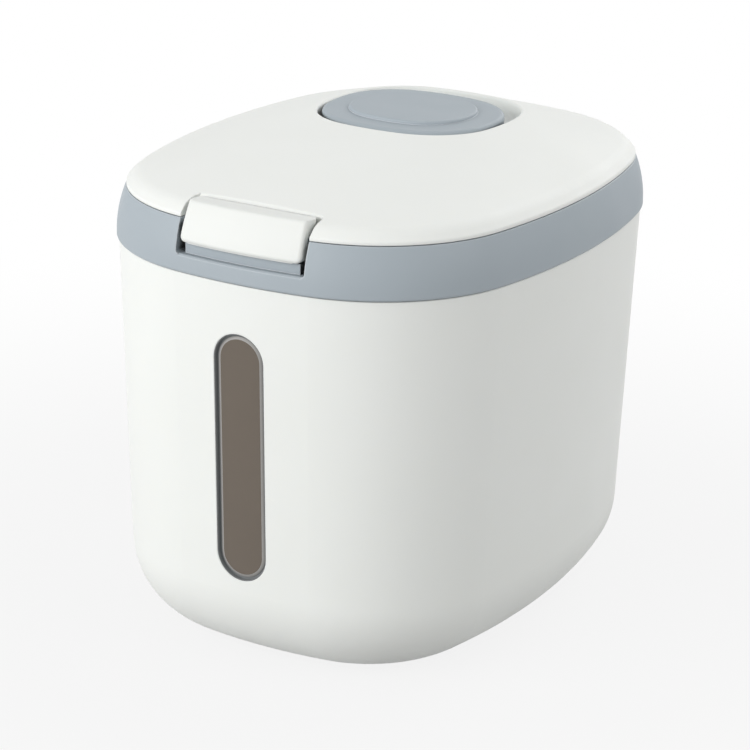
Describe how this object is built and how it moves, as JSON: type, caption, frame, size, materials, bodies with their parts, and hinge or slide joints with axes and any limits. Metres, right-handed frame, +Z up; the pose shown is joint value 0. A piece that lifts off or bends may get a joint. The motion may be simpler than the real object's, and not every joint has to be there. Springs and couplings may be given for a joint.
{
  "type": "rice bucket",
  "caption": "Rounded kitchen rice bucket with a smoked front window, a collar, a hinged domed lid with a front latch, and a lift-off oval cap over a small tray.",
  "frame": {"origin": "on the floor, under the middle of the bucket's flat base", "axes": "+Z up; the latch and the window face -Y, the lid's hinge is at +Y, +X is to the right as seen from the back"},
  "size_m": [0.197, 0.2476, 0.218],
  "materials": {
    "white_plastic": "satin moulded polypropylene",
    "grey_plastic": "satin moulded polypropylene, blue-grey",
    "smoked_window": "smoked see-through plastic, polished",
    "silicone": "matte silicone",
    "steel": "drawn steel wire"
  },
  "bodies": {
    "bucket": {"bucket_shell": "white_plastic", "window_pane": "smoked_window", "collar_ring": "grey_plastic", "hinge_pin": "steel"},
    "lid": {"lid_shell": "white_plastic", "lid_liner": "white_plastic", "lid_gasket": "silicone", "desiccant_tray": "white_plastic", "latch_pin": "steel"},
    "latch": {"latch_lever": "white_plastic"},
    "cap": {"cap_shell": "grey_plastic", "cap_seal": "silicone"}
  },
  "joints": [
    {"name": "lid_hinge", "type": "hinge", "parent": "bucket", "child": "lid", "pos_m": [0, 0.1231, 0.193], "axis": [-1, 0, 0], "range_deg": [0, 100]},
    {"name": "latch_pivot", "type": "hinge", "parent": "lid", "child": "latch", "pos_m": [0, -0.1089, 0.2], "axis": [-1, 0, 0], "range_deg": [0, 45]},
    {"name": "cap_lift", "type": "slide", "parent": "lid", "child": "cap", "axis": [0, 0, 1], "range_m": [0, 0.03]}
  ]
}
